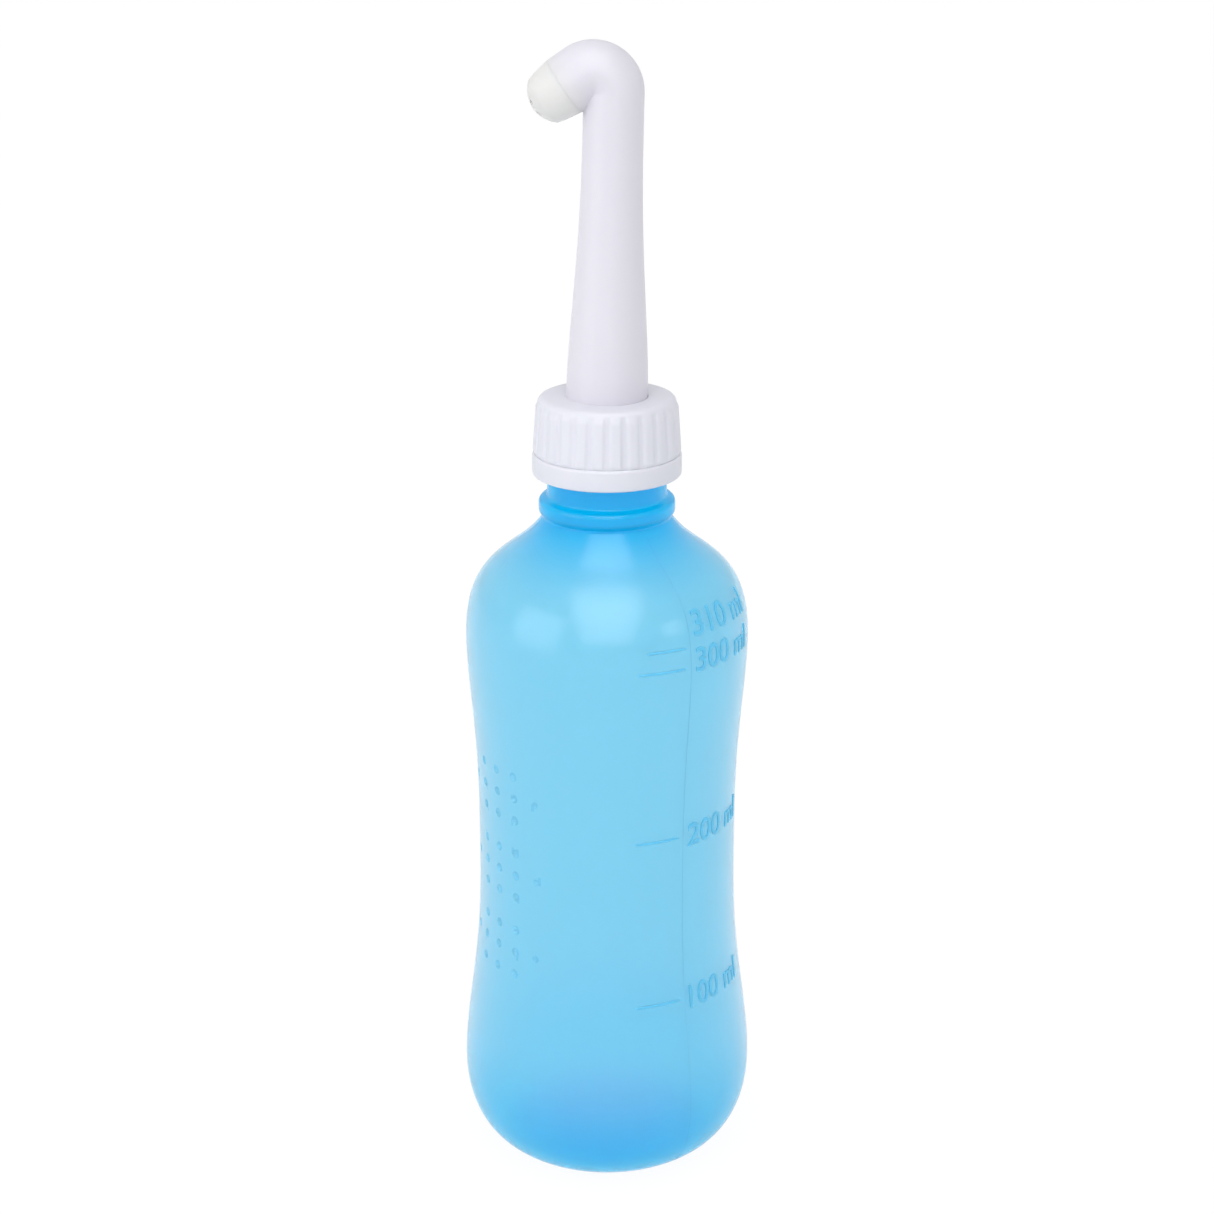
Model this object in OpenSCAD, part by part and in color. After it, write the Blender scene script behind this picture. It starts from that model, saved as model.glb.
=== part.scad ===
// Squeeze wash bottle: a waisted blow-moulded bottle with a threaded neck, a ribbed
// screw cap, a hooked spray nozzle that the cap clamps on a washer, and a spray tip.
// Millimetres. The bottle stands on z = 0 with its axis on Z, and the nozzle hooks to -X.

/* [Bottle body] */
// Diameter of the flat ring that the bottle stands on
standing_d = 32; // [26:0.5:38]
// Height of the hollow pushed up into the base
push_up = 3; // [1:0.25:4]
// Diameter of the widest part near the base
foot_d = 64; // [54:0.5:77]
// Height of the widest part above the standing ring
foot_h = 20; // [16:0.5:26]
// Diameter of the waist that the hand grips
waist_d = 56.2; // [46:0.2:68]
// Height from the widest part to the waist
lower_flank_h = 54; // [40:0.5:70]
// Diameter of the shoulder bulge
shoulder_d = 60.6; // [50:0.2:73]
// Height from the waist to the shoulder bulge
upper_flank_h = 47; // [38:0.5:60]
// Height of the dome from the shoulder bulge to the neck
dome_h = 26; // [21:0.5:32]
// Thickness of the blown wall
wall = 1.1; // [0.8:0.05:1.6]

/* [Neck] */
// Diameter of the neck between its threads
neck_d = 25.3; // [21:0.1:31]
// Thickness of the neck wall
neck_wall = 1.65; // [1.2:0.05:2.2]
// Height of the plain neck above its thread
neck_lead = 2.2; // [1.6:0.1:3]
// Height of the bead at the foot of the neck
bead_h = 4; // [2.5:0.1:5]
// How far the bead stands out of the neck
bead_depth = 1.75; // [1:0.05:2.2]
// Height of the plain neck between the bead and the cap
neck_gap = 5; // [3:0.1:7]

/* [Thread] */
// Rise of the thread in one turn
thread_pitch = 4.23; // [3.5:0.01:5.1]
// Turns of ridge on the neck and in the cap
thread_turns = 1.5; // [1:0.25:1.75]
// Depth of each ridge
thread_depth = 0.8; // [0.6:0.05:1]
// Width of a ridge at its root
ridge_root_w = 1.9; // [1.4:0.05:2]
// Width of a ridge at its crest
ridge_crest_w = 0.9; // [0.5:0.05:1.2]

/* [Cap] */
// Thickness of the cap's roof over the nozzle flange
roof_t = 1.5; // [1.2:0.1:2.2]
// Thickness of the skirt at the top, between the ribs
skirt_wall = 0.8; // [0.6:0.05:1.4]
// How much the skirt widens from top to flange
skirt_draft = 0.7; // [0.2:0.05:1]
// Height of the smooth band round the cap's lower edge
band_h = 4.3; // [3:0.1:5.5]
// How far the band stands out of the skirt
band_step = 0.5; // [0.2:0.05:0.9]
// Radius of the cap's rounded top edge
cap_edge_r = 1.3; // [0.6:0.1:1.6]
// Number of grip ribs round the skirt
rib_count = 26; // [18:1:36]
// Width across the cylinder that makes each rib
rib_d = 2.2; // [1.6:0.1:2.4]
// How far each rib stands out of the skirt
rib_depth = 0.35; // [0.2:0.05:0.5]

/* [Nozzle] */
// Diameter of the stem where it leaves the cap
stem_foot_d = 17; // [14:0.1:20.5]
// Diameter of the stem at the elbow
stem_top_d = 12.3; // [10.2:0.1:14.8]
// Height of the stem from the cap to the start of the elbow
stem_h = 62; // [50:0.5:75]
// Lean of the stem away from the outlet, in degrees
stem_lean = 1.3; // [0:0.1:2]
// Radius of the elbow's centre line
elbow_r = 4.6; // [4.2:0.1:6]
// How far the outlet points below level, in degrees
outlet_drop = 36; // [20:1:45]
// How far the tip's edge stays clear of the stem in the inner corner
corner_gap = 0.4; // [0.3:0.1:1.5]
// Wall of the stem at its foot
stem_foot_wall = 2.1; // [1.6:0.1:2.6]
// Diameter of the water way through the elbow
water_way_d = 7.4; // [6:0.1:8.9]
// Thickness of the flange that the cap clamps
flange_t = 1.5; // [1.2:0.1:2.2]

/* [Spray tip] */
// Length of the tip that shows, up to its dome
tip_l = 5.6; // [4.8:0.1:9]
// Wall of the tip round its socket where it meets the nozzle
tip_root_wall = 1.25; // [1:0.05:1.6]
// Wall of the tip round its socket at the dome's edge
tip_end_wall = 0.55; // [0.5:0.05:0.9]
// Height of the dome on the tip's end
dome_rise = 2.6; // [1.6:0.1:3.6]
// Thickness of the tip's dome
tip_wall = 1.3; // [1:0.1:1.8]
// Length of the spigot that holds the tip
spigot_l = 4; // [3:0.1:4.5]
// Wall of the spigot
spigot_wall = 0.9; // [0.7:0.05:1.1]
// Diameter of each spray hole
spray_hole_d = 1.2; // [0.8:0.1:1.6]
// Number of spray holes in the ring round the middle one
spray_hole_count = 6; // [4:1:8]

/* [Washer] */
// Thickness of the sealing washer
washer_t = 1.5; // [1:0.1:2.2]
// Width of the ring from its bore to its rim
washer_w = 4.6; // [3:0.1:5.4]

/* [Fits] */
// Radial gap between parts that turn or slide in each other
running_gap = 0.3; // [0.2:0.05:0.4]
// Radial gap of the tip on its spigot
plug_gap = 0.05; // [0.02:0.01:0.1]
// How far the washer and flange stay inside the neck's outer face
seat_inset = 0.1; // [0:0.05:0.3]

/* [Hidden] */

fine = 96;
curve_steps = 14;
thread_steps = 24;
overlap = 0.4;

// How tightly the flanks hug the narrow end: 2 is an even S, more stays slim for longer
flank_pull = 3.25;

standing_r = standing_d / 2;
foot_r = foot_d / 2;
waist_z = foot_h + lower_flank_h;
shoulder_z = waist_z + upper_flank_h;
body_h = shoulder_z + dome_h;
neck_r = neck_d / 2;
neck_bore_r = neck_r - neck_wall;
neck_root_r = neck_r + 1.15;
bead_groove = 0.6;
bead_z = body_h + bead_groove;
bead_top = bead_z + bead_h;
cap_z = bead_top + neck_gap;

// The cap's ridge starts above its chamfered mouth, and runs just under the neck's ridge,
// which it pulls on
mouth_chamfer = 0.9;
cap_thread_z = cap_z + mouth_chamfer + ridge_root_w / 2;
neck_thread_z = cap_thread_z + (ridge_root_w + ridge_crest_w) / 2 + running_gap;
land_z = neck_thread_z + thread_pitch * thread_turns + neck_lead;

washer_z = land_z;
flange_z = washer_z + washer_t;
roof_z = flange_z + flange_t;
cap_top = roof_z + roof_t;

seat_r = neck_r - seat_inset;
thread_crest_r = neck_r + thread_depth;
cap_bore_r = thread_crest_r + running_gap;
seat_bore_r = seat_r + running_gap;
skirt_top_r = cap_bore_r + skirt_wall;
skirt_low_r = skirt_top_r + skirt_draft;
band_r = skirt_low_r + band_step;
band_edge_r = 0.5;
band_top = cap_z + band_h;
thread_zone_top = land_z - 0.6;

stem_foot_r = stem_foot_d / 2;
stem_top_r = stem_top_d / 2;
water_way_r = water_way_d / 2;
elbow_turn = 90 + outlet_drop;

spigot_r = water_way_r + spigot_wall;
tip_socket_r = spigot_r + plug_gap;
tip_root_r = tip_socket_r + tip_root_wall;
tip_end_r = tip_socket_r + tip_end_wall;
spray_circle_r = tip_end_r * 0.5;

// Straight nozzle past the elbow, up to where the tip's edge is clear of the stem
outlet_l = corner_gap
    + (stem_top_r - elbow_r + (tip_root_r - elbow_r) * sin(outlet_drop)) / cos(outlet_drop);

// Points on a cubic curve from p0 to p3, steered by p1 and p2
function curve(p0, p1, p2, p3, steps = curve_steps) = [
    for (i = [0:steps])
        let (t = i / steps, s = 1 - t)
            s * s * s * p0 + 3 * s * s * t * p1 + 3 * s * t * t * p2 + t * t * t * p3
];

// Points on an arc round c, in degrees from a0 to a1
function arc(c, r, a0, a1, steps = 6) = [
    for (i = [0:steps])
        let (a = a0 + (a1 - a0) * i / steps)
            c + r * [cos(a), sin(a)]
];

// Falls from 1 to 0 as t goes from 0 to 1, level at both ends and slim for longer
function flank(t) = pow(1 - t, flank_pull) * (1 + flank_pull * t);

// A flank from radius r0 at height z0 to radius r1 at z1, narrow end where slim_end says
function flank_points(r0, z0, r1, z1, slim_end = 1) = [
    for (i = [1:curve_steps - 1])
        let (t = i / curve_steps, f = slim_end == 1 ? flank(t) : 1 - flank(1 - t))
            [r1 + (r0 - r1) * f, z0 + (z1 - z0) * t]
];

// Moves an open line of points to its left by t
function inset(p, t) = [
    for (i = [0:len(p) - 1])
        let (
            d = p[min(i + 1, len(p) - 1)] - p[max(i - 1, 0)],
            n = [-d.y, d.x] / norm(d)
        )
            p[i] + t * n
];

// Outside of the bottle from its standing ring up to the neck, as radius and height
base_curve = curve([standing_r, 0],
                   [standing_r + 0.75 * (foot_r - standing_r), 0],
                   [foot_r, foot_h * 0.5],
                   [foot_r, foot_h]);
dome_curve = curve([shoulder_d / 2, shoulder_z],
                   [shoulder_d / 2, shoulder_z + dome_h * 0.7],
                   [neck_root_r + dome_h * 0.25, body_h - dome_h * 0.37],
                   [neck_root_r, body_h]);
body_line = concat(
    base_curve,
    flank_points(foot_r, foot_h, waist_d / 2, waist_z),
    [[waist_d / 2, waist_z]],
    flank_points(waist_d / 2, waist_z, shoulder_d / 2, shoulder_z, slim_end = 0),
    dome_curve
);

// Hollow under the base: an arc from a small flat on the axis down to the standing ring
ring_in_r = standing_r - 2.5;
push_r = (ring_in_r * ring_in_r + push_up * push_up) / (2 * push_up);
push_half = asin(ring_in_r / push_r);
push_arc = arc([0, push_up - push_r], push_r, 90 - push_half / 8, 90 - push_half);
push_line = concat([[0, push_arc[0].y]], push_arc);

// Half-round bead
bead_line = arc([neck_r + bead_depth - bead_h / 2, bead_z + bead_h / 2], bead_h / 2, -80, 80, 10);

// A helical ridge on a cylinder. It reaches out of the wall for side = 1 and into the
// bore for side = -1, and fades over its first and last steps
module thread_ridge(wall_r, z, side) {
    steps = round(thread_steps * thread_turns);
    function fade(i) = min(1, 0.35 + 0.35 * min(i, steps - i));
    sections = [
        for (i = [0:steps])
            let (
                a = 360 * i / thread_steps,
                zc = z + thread_pitch * i / thread_steps,
                crest_r = wall_r + side * thread_depth * fade(i),
                root_r = wall_r - side * overlap
            )
                each [
                    [root_r * cos(a), root_r * sin(a), zc - ridge_root_w / 2],
                    [crest_r * cos(a), crest_r * sin(a), zc - ridge_crest_w / 2],
                    [crest_r * cos(a), crest_r * sin(a), zc + ridge_crest_w / 2],
                    [root_r * cos(a), root_r * sin(a), zc + ridge_root_w / 2]
                ]
    ];
    function turned(f) = side == 1 ? [f[2], f[1], f[0]] : f;
    sides = [
        for (i = [0:steps - 1], k = [0:3])
            let (a = 4 * i + k, b = 4 * i + (k + 1) % 4)
                each [turned([a, a + 4, b]), turned([b, a + 4, b + 4])]
    ];
    e = 4 * steps;
    ends = [
        turned([0, 1, 2]), turned([0, 2, 3]),
        turned([e + 2, e + 1, e]), turned([e + 3, e + 2, e])
    ];
    polyhedron(concat(sections), concat(sides, ends), convexity = 6);
}

module bottle_body() {
    color("deepskyblue", 0.8) {
        rotate_extrude($fn = fine)
            polygon(concat(
                push_line,
                body_line,
                bead_line,
                [
                    [neck_r, bead_top], [neck_r, land_z],
                    [neck_bore_r, land_z], [neck_bore_r, body_h + 1]
                ],
                [for (i = [len(body_line) - 1:-1:0]) inset(body_line, wall)[i]],
                [for (i = [len(push_line) - 1:-1:0]) push_line[i] + [0, wall]]
            ));
        thread_ridge(neck_r, neck_thread_z, 1);
    }
}

module sealing_washer() {
    color("white")
        translate([0, 0, washer_z])
            difference() {
                cylinder(r = seat_r, h = washer_t, $fn = fine);
                translate([0, 0, -1])
                    cylinder(r = seat_r - washer_w, h = washer_t + 2, $fn = fine);
            }
}

module rib() {
    rib_r = rib_d / 2;
    rib_h = cap_top - cap_edge_r - band_top;
    lean = atan(skirt_draft / (cap_top - band_top));
    translate([skirt_low_r + rib_depth - rib_r, 0, band_top - overlap])
        rotate([0, -lean, 0])
            rotate_extrude($fn = 32)
                polygon(concat([[0, 0], [rib_r, 0]],
                               arc([0, rib_h - rib_r * 0.6], rib_r, 0, 90, 3)));
}

module screw_cap() {
    mouth_r = cap_bore_r + mouth_chamfer / 2;
    hole_r = stem_foot_r + running_gap;
    color("lavender") {
        difference() {
            union() {
                rotate_extrude($fn = fine)
                    polygon(concat(
                        [[0, cap_z]],
                        arc([band_r - band_edge_r, cap_z + band_edge_r], band_edge_r, -90, 0),
                        arc([band_r - band_edge_r, band_top - band_edge_r], band_edge_r, 0, 90),
                        [[skirt_low_r, band_top]],
                        arc([skirt_top_r - cap_edge_r, cap_top - cap_edge_r], cap_edge_r, 0, 90),
                        [[0, cap_top]]
                    ));
                for (i = [0:rib_count - 1])
                    rotate([0, 0, i * 360 / rib_count])
                        rib();
            }
            rotate_extrude($fn = fine)
                polygon([
                    [0, cap_z - 1], [mouth_r, cap_z - 1], [mouth_r, cap_z],
                    [cap_bore_r, cap_z + mouth_chamfer], [cap_bore_r, thread_zone_top],
                    [seat_bore_r, land_z], [seat_bore_r, roof_z],
                    [hole_r, roof_z], [hole_r, cap_top + 1], [0, cap_top + 1]
                ]);
        }
        thread_ridge(cap_bore_r, cap_thread_z, -1);
    }
}

// Places its children at the start of the leaning stem
module at_stem() {
    translate([0, 0, cap_top])
        rotate([0, stem_lean, 0])
            children();
}

// Places its children at the end of the elbow, with Z along the outlet
module at_outlet() {
    at_stem()
        translate([-elbow_r, 0, stem_h])
            rotate([0, -elbow_turn, 0])
                translate([elbow_r, 0, 0])
                    children();
}

// A bend of a round bar of radius r, from straight up to along the outlet. The bar is cut
// at the bend's own axis, which gives the sharp inner corner
module elbow(r) {
    reach = r > elbow_r ? acos(-elbow_r / r) : 180;
    at_stem()
        translate([-elbow_r, 0, stem_h])
            rotate([90, 0, 0])
                rotate_extrude(angle = elbow_turn, $fn = fine)
                    polygon([
                        for (p = arc([elbow_r, 0], r, -reach, reach, 36))
                            [max(p.x, 0), p.y]
                    ]);
}

module nozzle_tube() {
    foot_bore_r = stem_foot_r - stem_foot_wall;
    foot_depth = roof_t + flange_t / 2;
    color("ghostwhite")
        difference() {
            union() {
                translate([0, 0, flange_z])
                    cylinder(r = seat_r, h = flange_t, $fn = fine);
                at_stem()
                    rotate_extrude($fn = fine)
                        polygon(concat(
                            [[0, -foot_depth], [stem_foot_r, -foot_depth], [stem_foot_r, 0]],
                            flank_points(stem_foot_r, 0, stem_top_r, stem_h),
                            [[stem_top_r, stem_h], [0, stem_h]]
                        ));
                elbow(stem_top_r);
                at_outlet() {
                    cylinder(r = stem_top_r, h = outlet_l, $fn = fine);
                    cylinder(r = spigot_r, h = outlet_l + spigot_l, $fn = fine);
                }
            }
            at_stem()
                rotate_extrude($fn = fine)
                    polygon([
                        [0, -foot_depth - flange_t], [foot_bore_r, -foot_depth - flange_t],
                        [foot_bore_r, 0], [water_way_r, stem_h], [0, stem_h]
                    ]);
            elbow(water_way_r);
            at_outlet()
                cylinder(r = water_way_r, h = outlet_l + spigot_l + 1, $fn = fine);
        }
}

module spray_tip() {
    dome_r = (tip_end_r * tip_end_r + dome_rise * dome_rise) / (2 * dome_rise);
    dome_half = asin(tip_end_r / dome_r);
    dome_c = [0, tip_l + dome_rise - dome_r];
    socket_l = spigot_l + plug_gap;
    color("whitesmoke")
        at_outlet()
            translate([0, 0, outlet_l])
                difference() {
                    rotate_extrude($fn = fine)
                        polygon(concat(
                            [[tip_socket_r, 0], [tip_root_r, 0]],
                            arc(dome_c, dome_r, 90 - dome_half, 90, 10),
                            arc(dome_c, dome_r - tip_wall, 90, 90 - 0.75 * dome_half, 8),
                            [[water_way_r, socket_l + 0.5], [tip_socket_r, socket_l]]
                        ));
                    for (i = [0:spray_hole_count])
                        rotate([0, 0, i * 360 / spray_hole_count])
                            translate([i < spray_hole_count ? spray_circle_r : 0, 0, socket_l])
                                cylinder(d = spray_hole_d, h = tip_l + dome_rise, $fn = 24);
                }
}

bottle_body();
sealing_washer();
nozzle_tube();
spray_tip();
screw_cap();
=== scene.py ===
# %% [markdown]
# # A squeeze wash bottle
# This lesson builds a soft, frosted, sky-blue bottle with a ribbed screw cap and a hooked
# spray nozzle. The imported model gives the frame: where every part sits, and which body it
# moves with. Each step makes one visible piece in metres, in its final place, and lets it
# ride on a body.

import math

import bmesh
import bpy
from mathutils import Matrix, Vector


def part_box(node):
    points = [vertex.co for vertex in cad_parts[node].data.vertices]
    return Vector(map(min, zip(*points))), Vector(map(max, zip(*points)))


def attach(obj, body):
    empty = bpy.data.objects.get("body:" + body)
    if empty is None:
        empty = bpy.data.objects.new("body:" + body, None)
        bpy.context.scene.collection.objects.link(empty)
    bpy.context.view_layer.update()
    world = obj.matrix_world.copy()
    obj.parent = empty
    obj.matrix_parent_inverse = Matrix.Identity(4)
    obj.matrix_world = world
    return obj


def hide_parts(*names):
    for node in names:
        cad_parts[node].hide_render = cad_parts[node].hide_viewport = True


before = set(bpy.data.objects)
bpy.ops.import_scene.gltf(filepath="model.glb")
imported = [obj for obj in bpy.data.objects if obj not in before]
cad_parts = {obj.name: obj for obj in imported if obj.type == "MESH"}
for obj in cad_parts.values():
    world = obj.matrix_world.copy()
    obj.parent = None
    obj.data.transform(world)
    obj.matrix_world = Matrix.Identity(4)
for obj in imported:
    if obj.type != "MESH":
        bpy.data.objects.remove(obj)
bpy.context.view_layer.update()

# %% [markdown]
# ## Sizes
# The bottle, cap and nozzle are round, so a handful of radii and heights describes them.
# They are in millimetres, and `MM` turns them to metres. What the frame already knows, such
# as the height of the neck's land, is read from it and not written twice.

# %% Sizes in millimetres
MM = 0.001


def top_of(node):
    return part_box(node)[1][2] / MM


STANDING_R = 16.0
PUSH_UP = 3.0
FOOT_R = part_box("bottle_body")[1][0] / MM
FOOT_Z = 20.0
WAIST_R = 28.1
WAIST_Z = 74.0
SHOULDER_R = 30.3
SHOULDER_Z = 121.0
BODY_TOP = 147.0
NECK_R = 12.65
NECK_BORE_R = 11.0
NECK_ROOT_R = 13.8
LAND_Z = top_of("bottle_body")
CAP_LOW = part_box("screw_cap")[0][2] / MM
CAP_TOP = top_of("screw_cap")
ROOF_Z = CAP_TOP - 1.5
WALL = 1.1
print("land at %.2f mm, cap from %.2f to %.2f mm" % (LAND_Z, CAP_LOW, CAP_TOP))

# %% [markdown]
# ## Helpers for outlines
# A turned shape starts as an outline of radius and height. Three small functions draw one:
# a cubic curve, an arc, and a function that rounds the corners of a polygon.


# %% Outline helpers
def curve(p0, p1, p2, p3, steps=24):
    """Points on a cubic curve from p0 to p3, steered by p1 and p2."""
    points = []
    for i in range(steps + 1):
        t = i / steps
        weights = ((1 - t) ** 3, 3 * t * (1 - t) ** 2, 3 * t * t * (1 - t), t ** 3)
        points.append(tuple(sum(w * p[k] for w, p in zip(weights, (p0, p1, p2, p3))) for k in (0, 1)))
    return points


def arc(centre, radius, start, end, steps=8):
    """Points on an arc, with its angles in degrees."""
    points = []
    for i in range(steps + 1):
        a = math.radians(start + (end - start) * i / steps)
        points.append((centre[0] + radius * math.cos(a), centre[1] + radius * math.sin(a)))
    return points


def rounded(corners, steps=6):
    """A polygon's corners (r, z, size): each with a size is cut back by it and rounded."""
    points = []
    for i, (r, z, size) in enumerate(corners):
        if not size:
            points.append((r, z))
            continue
        here = Vector((r, z))
        before = Vector(corners[i - 1][:2])
        after = Vector(corners[(i + 1) % len(corners)][:2])
        start = here + (before - here).normalized() * size
        end = here + (after - here).normalized() * size
        for k in range(steps + 1):
            t = k / steps
            p = start * (1 - t) ** 2 + here * 2 * t * (1 - t) + end * t * t
            points.append((p.x, p.y))
    return points


# %% [markdown]
# ## From an outline to a mesh
# Blender's Screw modifier turns an outline too, but a few lines of code give full control of
# the poles and the normals. Edges sharper than about 35 degrees stay crisp, and the rest is
# shaded smooth.


# %% Mesh helpers
def finish_mesh(mesh, crease=35.0):
    """Merges doubles, points the faces outwards and shades them."""
    shape = bmesh.new()
    shape.from_mesh(mesh)
    bmesh.ops.remove_doubles(shape, verts=shape.verts, dist=1e-7)
    bmesh.ops.recalc_face_normals(shape, faces=shape.faces)
    shape.to_mesh(mesh)
    shape.free()
    mesh.shade_smooth()
    mesh.set_sharp_from_angle(angle=math.radians(crease))


def add_piece(name, verts, faces, material, crease=35.0):
    """A new object at the origin from points in millimetres."""
    mesh = bpy.data.meshes.new(name)
    mesh.from_pydata([Vector(v) * MM for v in verts], [], faces)
    finish_mesh(mesh, crease)
    mesh.materials.append(material)
    piece = bpy.data.objects.new(name, mesh)
    bpy.context.scene.collection.objects.link(piece)
    print("%s: %d faces" % (name, len(mesh.polygons)))
    return piece


def turned(outline, columns):
    """Points and faces of a closed outline turned about Z."""
    rows = len(outline)
    verts = []
    for r, z in outline:
        for k in range(columns):
            a = 2 * math.pi * k / columns
            verts.append((r * math.cos(a), r * math.sin(a), z))
    faces = []
    for i in range(rows):
        j = (i + 1) % rows
        if outline[i][0] < 1e-6 and outline[j][0] < 1e-6:
            continue
        for k in range(columns):
            m = (k + 1) % columns
            faces.append((i * columns + k, i * columns + m, j * columns + m, j * columns + k))
    return verts, faces


def mesh_from_nodes(piece):
    """Turns a piece with live modifiers into a plain mesh and drops the modifiers."""
    depsgraph = bpy.context.evaluated_depsgraph_get()
    mesh = bpy.data.meshes.new_from_object(piece.evaluated_get(depsgraph))
    piece.modifiers.clear()
    old = piece.data
    piece.data = mesh
    mesh.name = piece.name
    if not old.users:
        bpy.data.meshes.remove(old)
    print("%s: %d faces after its modifiers" % (piece.name, len(mesh.polygons)))


# %% [markdown]
# ## Node helpers
# Materials and Geometry Nodes trees are both built by adding nodes and linking sockets. One
# function does that for any kind of node. Colours are written as the hex values that an image
# editor shows, and one function turns them to the linear values that a shader needs.


# %% Node helpers
def add_node(tree, kind, settings=None, inputs=None):
    """A node with its settings. An input is a value, or a socket to link from."""
    node = tree.nodes.new(kind)
    for key, value in (settings or {}).items():
        setattr(node, key, value)
    for key, value in (inputs or {}).items():
        socket = node.inputs[key]
        if isinstance(value, bpy.types.NodeSocket):
            tree.links.new(value, socket)
        else:
            socket.default_value = value
    return node


def ramp(tree, value, start, end):
    """A smooth ramp, 0 where the value is start and 1 where it is end."""
    node = add_node(tree, "ShaderNodeMapRange", {"interpolation_type": "SMOOTHSTEP"},
                    {"Value": value, "From Min": start, "From Max": end})
    return node.outputs["Result"]


def colour(code):
    """An sRGB hex colour as linear red, green, blue and alpha."""
    channels = [int(code[i:i + 2], 16) / 255 for i in (1, 3, 5)]
    linear = [c / 12.92 if c <= 0.04045 else ((c + 0.055) / 1.055) ** 2.4 for c in channels]
    return (*linear, 1.0)


def new_material(name):
    """An empty material with its output node."""
    material = bpy.data.materials.new(name)
    material.use_nodes = True
    tree = material.node_tree
    tree.nodes.clear()
    return material, tree, tree.nodes.new("ShaderNodeOutputMaterial")


# %% [markdown]
# ## Camera
# The camera looks down at the bottle from a little above its cap. A
# long lens keeps the sides nearly parallel.

# %% Camera
CAMERA_BACK = 0.506
CAMERA_HEIGHT = 0.3035
CAMERA_PITCH = math.radians(19.28)
LENS_MM = 74.1

camera_data = bpy.data.cameras.new("camera")
camera_data.lens = LENS_MM
camera_data.sensor_width = 36.0
camera_data.clip_start = 0.01
camera = bpy.data.objects.new("camera", camera_data)
camera.location = (0, -CAMERA_BACK, CAMERA_HEIGHT)
camera.rotation_euler = (math.pi / 2 - CAMERA_PITCH, 0, 0)
bpy.context.scene.collection.objects.link(camera)
bpy.context.scene.camera = camera
print("camera %.0f mm away" % (CAMERA_BACK / MM))

# %% [markdown]
# ## Frosted polyethylene
# The bottle is blow-moulded low-density polyethylene with a blue tint. The wall scatters
# light, so it glows, and shapes behind it show only as soft patches. A Principled shader lets
# four fifths of the light through a rough surface. Its coat gives the soft patches of light,
# its sheen the pale edge, and a painted glow of emission stands for the light that wanders
# inside a milky wall; the glow is stronger at the neck, which the cap shades. A part of
# Translucent spreads the light from behind. The wall is thicker at the neck and in the base,
# where the hot tube stretched least, so ramps along the height and round the middle of the
# base deepen the tint there, and thick plastic gets less gloss.

# %% Bottle material
BODY_BLUE = "#B2EEFE"
NECK_BLUE = "#00D0F8"
BASE_BLUE = "#22E0FE"
BOTTOM_BLUE = "#00B4FC"
SHEEN_TINT = "#CFCBFF"
SKIN_GRAIN_MM = 1.2
CLEAR_SHARE = 0.8
TRANSLUCENT_SHARE = 0.22
# A deeper blue for the grip dimples: painted shade in their hollows.
DIMPLE_SHADE_BLUE = "#50CCF6"


def mixed(tree, factor, first, second):
    """A colour between two others. Each is a socket or a colour."""
    node = add_node(tree, "ShaderNodeMix", {"data_type": "RGBA"}, {"Factor": factor})
    for socket, value in ((node.inputs[6], first), (node.inputs[7], second)):
        if isinstance(value, bpy.types.NodeSocket):
            tree.links.new(value, socket)
        else:
            socket.default_value = value
    return node.outputs[2]


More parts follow.
